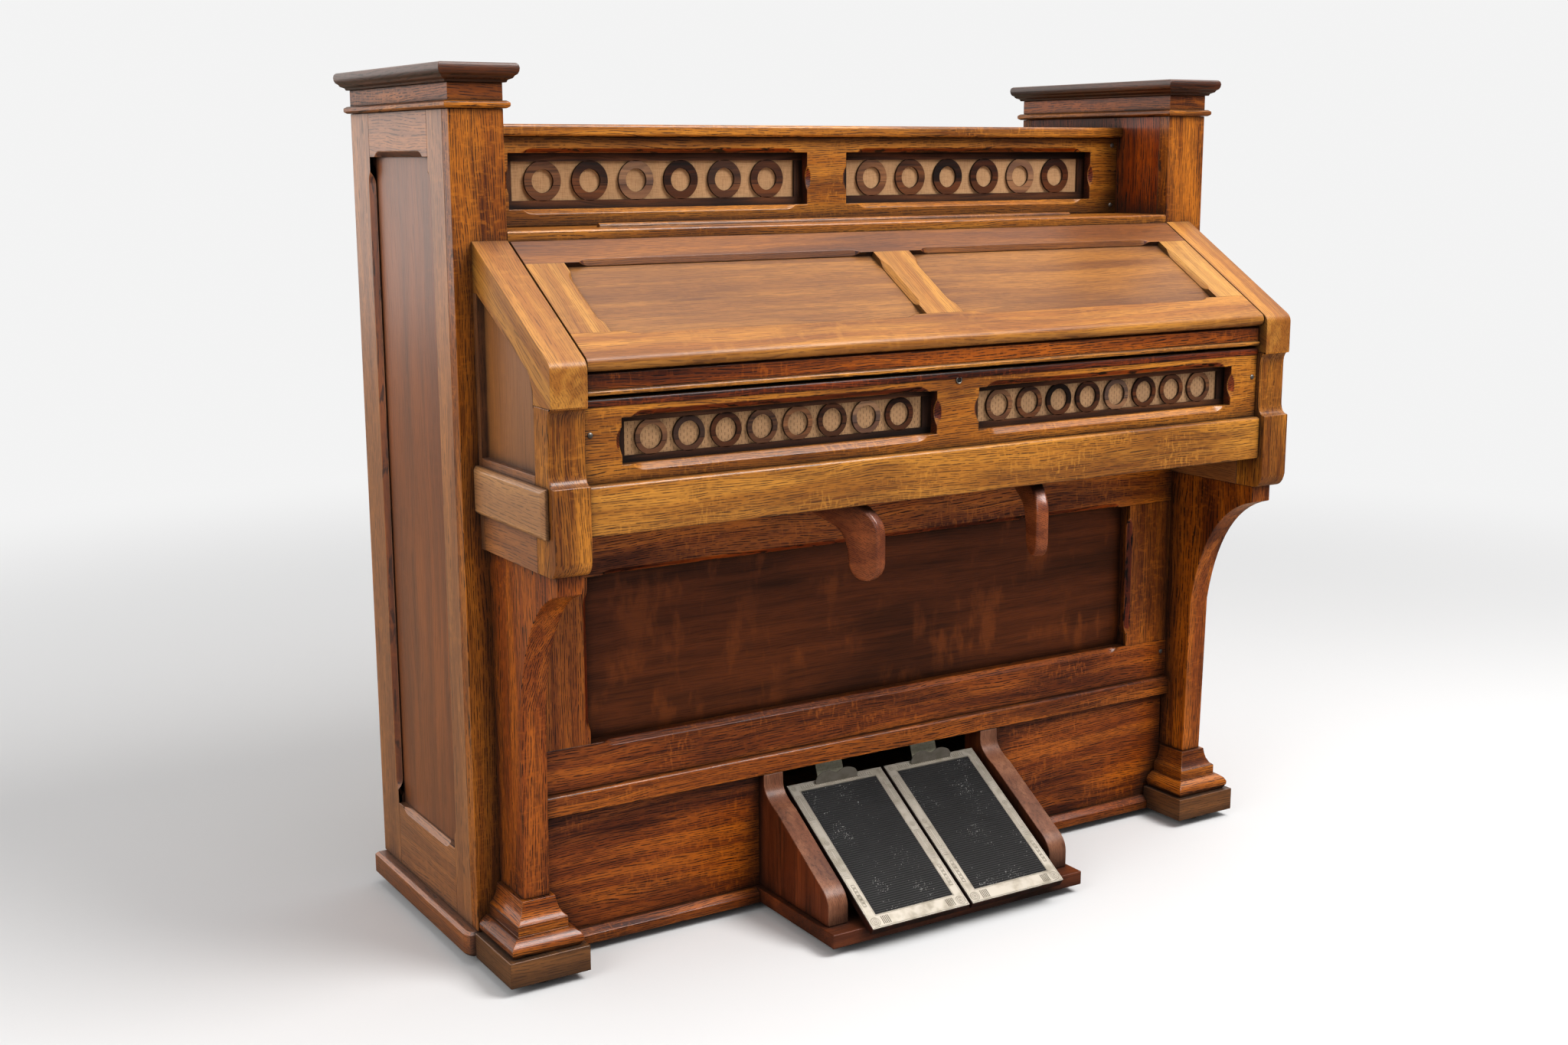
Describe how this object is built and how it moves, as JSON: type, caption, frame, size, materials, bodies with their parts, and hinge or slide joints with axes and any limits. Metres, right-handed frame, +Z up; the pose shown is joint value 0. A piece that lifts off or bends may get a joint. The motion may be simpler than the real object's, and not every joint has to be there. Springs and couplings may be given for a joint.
{
  "type": "pump organ",
  "caption": "Oak pump organ with panelled end towers, pierced fret panels, a sloping lid over the keys, knee levers and foot treadles that work its bellows.",
  "frame": {"origin": "middle of the plan at floor level", "axes": "+X to the right along the keyboard as the player faces it, +Y away from the player to the back, +Z up"},
  "size_m": [1.218, 0.5926, 1.107],
  "materials": {
    "oak": "stained and varnished quarter-sawn oak, satin",
    "dark_oak": "dark stained oak, satin",
    "rosewood": "dark rosewood graining, satin",
    "linen": "plain woven tan linen",
    "pine": "plain unvarnished softwood",
    "ivory": "aged ivory-coloured key facing",
    "ebony": "black stained hardwood, polished",
    "brass": "aged brass",
    "nickel": "worn nickel plate",
    "rubber": "black ribbed rubber",
    "webbing": "cream cotton webbing"
  },
  "bodies": {
    "case": {"tower_side_left": "oak", "tower_side_right": "oak", "tower_post_left": "oak", "tower_post_right": "oak", "tower_cap_left": "oak", "tower_cap_right": "oak", "cheek_left": "oak", "cheek_right": "oak", "leg_bracket_left": "oak", "leg_bracket_right": "oak", "leg_foot_left": "oak", "leg_foot_right": "oak", "pedal_cheek_left": "oak", "pedal_cheek_right": "oak", "base_board": "oak", "upper_shelf": "oak", "upper_fret_frame": "oak", "music_ledge": "oak", "front_fret_frame": "oak", "key_bed": "oak", "knee_frame": "oak", "lower_ledge": "oak", "lower_board": "oak", "pedal_floor": "oak", "stop_board": "oak", "knee_panel": "dark_oak", "upper_fret": "rosewood", "front_fret": "rosewood", "upper_fret_cloth": "linen", "front_fret_cloth": "linen", "back_panel": "pine", "reservoir": "pine", "reed_chest": "pine", "key_frame": "ivory", "keyhole_escutcheon": "brass"},
    "lid": {"lid_frame": "oak", "lid_front_board": "oak"},
    "swell_shutter": {"swell_shutter": "pine"},
    "knee_lever_left": {"knee_lever_left": "oak"},
    "treadle_left": {"treadle_board_left": "dark_oak", "treadle_binding_left": "nickel", "treadle_mat_left": "rubber"},
    "treadle_strap_left": {"treadle_strap_left": "webbing"},
    "exhauster_left": {"exhauster_left": "pine"},
    "knee_lever_right": {"knee_lever_right": "oak"},
    "treadle_right": {"treadle_board_right": "dark_oak", "treadle_binding_right": "nickel", "treadle_mat_right": "rubber"},
    "treadle_strap_right": {"treadle_strap_right": "webbing"},
    "exhauster_right": {"exhauster_right": "pine"},
    "key_c": {"key_c": "ivory"},
    "key_c_sharp": {"key_c_sharp": "ebony"},
    "key_d": {"key_d": "ivory"},
    "key_d_sharp": {"key_d_sharp": "ebony"},
    "key_e": {"key_e": "ivory"},
    "draw_stop_1": {"draw_stop_1": "ebony"},
    "draw_stop_2": {"draw_stop_2": "ebony"},
    "draw_stop_3": {"draw_stop_3": "ebony"},
    "draw_stop_4": {"draw_stop_4": "ebony"},
    "draw_stop_5": {"draw_stop_5": "ebony"}
  },
  "joints": [
    {"name": "lid_hinge", "type": "hinge", "parent": "case", "child": "lid", "pos_m": [0, -0.07718, 0.88015], "axis": [-1, 0, 0], "range_deg": [0, 118]},
    {"name": "treadle_left_hinge", "type": "hinge", "parent": "case", "child": "treadle_left", "pos_m": [-0.0795, -0.28118, 0.0315], "axis": [-1, 0, 0], "range_deg": [0, 20], "stiffness_Nm_per_rad": 6, "springref_deg": -34.38},
    {"name": "treadle_left_strap", "type": "hinge", "parent": "treadle_left", "child": "treadle_strap_left", "pos_m": [-0.0795, -0.08221, 0.15711], "axis": [1, 0, 0], "range_deg": [0, 24]},
    {"name": "exhauster_left_hinge", "type": "hinge", "parent": "case", "child": "exhauster_left", "pos_m": [-0.155, 0.24232, 0.416], "axis": [1, 0, 0], "range_deg": [0, 17.6]},
    {"name": "knee_lever_left_pivot", "type": "hinge", "parent": "case", "child": "knee_lever_left", "pos_m": [-0.1656, -0.17328, 0.5771], "axis": [0, 0, -1], "range_deg": [0, 25], "stiffness_Nm_per_rad": 0.4, "springref_deg": -17.19},
    {"name": "treadle_right_hinge", "type": "hinge", "parent": "case", "child": "treadle_right", "pos_m": [0.0795, -0.28118, 0.0315], "axis": [-1, 0, 0], "range_deg": [0, 20], "stiffness_Nm_per_rad": 6, "springref_deg": -34.38},
    {"name": "treadle_right_strap", "type": "hinge", "parent": "treadle_right", "child": "treadle_strap_right", "pos_m": [0.0795, -0.08221, 0.15711], "axis": [1, 0, 0], "range_deg": [0, 24]},
    {"name": "exhauster_right_hinge", "type": "hinge", "parent": "case", "child": "exhauster_right", "pos_m": [0.155, 0.24232, 0.416], "axis": [1, 0, 0], "range_deg": [0, 17.6]},
    {"name": "knee_lever_right_pivot", "type": "hinge", "parent": "case", "child": "knee_lever_right", "pos_m": [0.1656, -0.17328, 0.5771], "axis": [0, 0, 1], "range_deg": [0, 25], "stiffness_Nm_per_rad": 0.4, "springref_deg": -17.19},
    {"name": "swell_shutter_hinge", "type": "hinge", "parent": "case", "child": "swell_shutter", "pos_m": [0, -0.17598, 0.682], "axis": [-1, 0, 0], "range_deg": [0, 30]},
    {"name": "key_c_balance", "type": "hinge", "parent": "case", "child": "key_c", "pos_m": [0.0118, -0.04268, 0.707], "axis": [1, 0, 0], "range_deg": [0, 2.75], "stiffness_Nm_per_rad": 0.4, "springref_deg": -14.32},
    {"name": "key_d_balance", "type": "hinge", "parent": "case", "child": "key_d", "pos_m": [0.0354, -0.04268, 0.707], "axis": [1, 0, 0], "range_deg": [0, 2.75], "stiffness_Nm_per_rad": 0.4, "springref_deg": -14.32},
    {"name": "key_e_balance", "type": "hinge", "parent": "case", "child": "key_e", "pos_m": [0.059, -0.04268, 0.707], "axis": [1, 0, 0], "range_deg": [0, 2.75], "stiffness_Nm_per_rad": 0.4, "springref_deg": -14.32},
    {"name": "key_c_sharp_balance", "type": "hinge", "parent": "case", "child": "key_c_sharp", "pos_m": [0.0212, -0.04268, 0.707], "axis": [1, 0, 0], "range_deg": [0, 2.75], "stiffness_Nm_per_rad": 0.4, "springref_deg": -14.32},
    {"name": "key_d_sharp_balance", "type": "hinge", "parent": "case", "child": "key_d_sharp", "pos_m": [0.0496, -0.04268, 0.707], "axis": [1, 0, 0], "range_deg": [0, 2.75], "stiffness_Nm_per_rad": 0.4, "springref_deg": -14.32},
    {"name": "draw_stop_1_slide", "type": "slide", "parent": "case", "child": "draw_stop_1", "axis": [0, -1, 0], "range_m": [0, 0.022]},
    {"name": "draw_stop_2_slide", "type": "slide", "parent": "case", "child": "draw_stop_2", "axis": [0, -1, 0], "range_m": [0, 0.022]},
    {"name": "draw_stop_3_slide", "type": "slide", "parent": "case", "child": "draw_stop_3", "axis": [0, -1, 0], "range_m": [0, 0.022]},
    {"name": "draw_stop_4_slide", "type": "slide", "parent": "case", "child": "draw_stop_4", "axis": [0, -1, 0], "range_m": [0, 0.022]},
    {"name": "draw_stop_5_slide", "type": "slide", "parent": "case", "child": "draw_stop_5", "axis": [0, -1, 0], "range_m": [0, 0.022]}
  ],
  "couplings": [
    {"joint": "treadle_left_strap", "follows": "treadle_left_hinge", "ratio": 1.2},
    {"joint": "exhauster_left_hinge", "follows": "treadle_left_hinge", "ratio": 0.88},
    {"joint": "treadle_right_strap", "follows": "treadle_right_hinge", "ratio": 1.2},
    {"joint": "exhauster_right_hinge", "follows": "treadle_right_hinge", "ratio": 0.88},
    {"joint": "swell_shutter_hinge", "follows": "knee_lever_right_pivot", "ratio": 1.2}
  ]
}
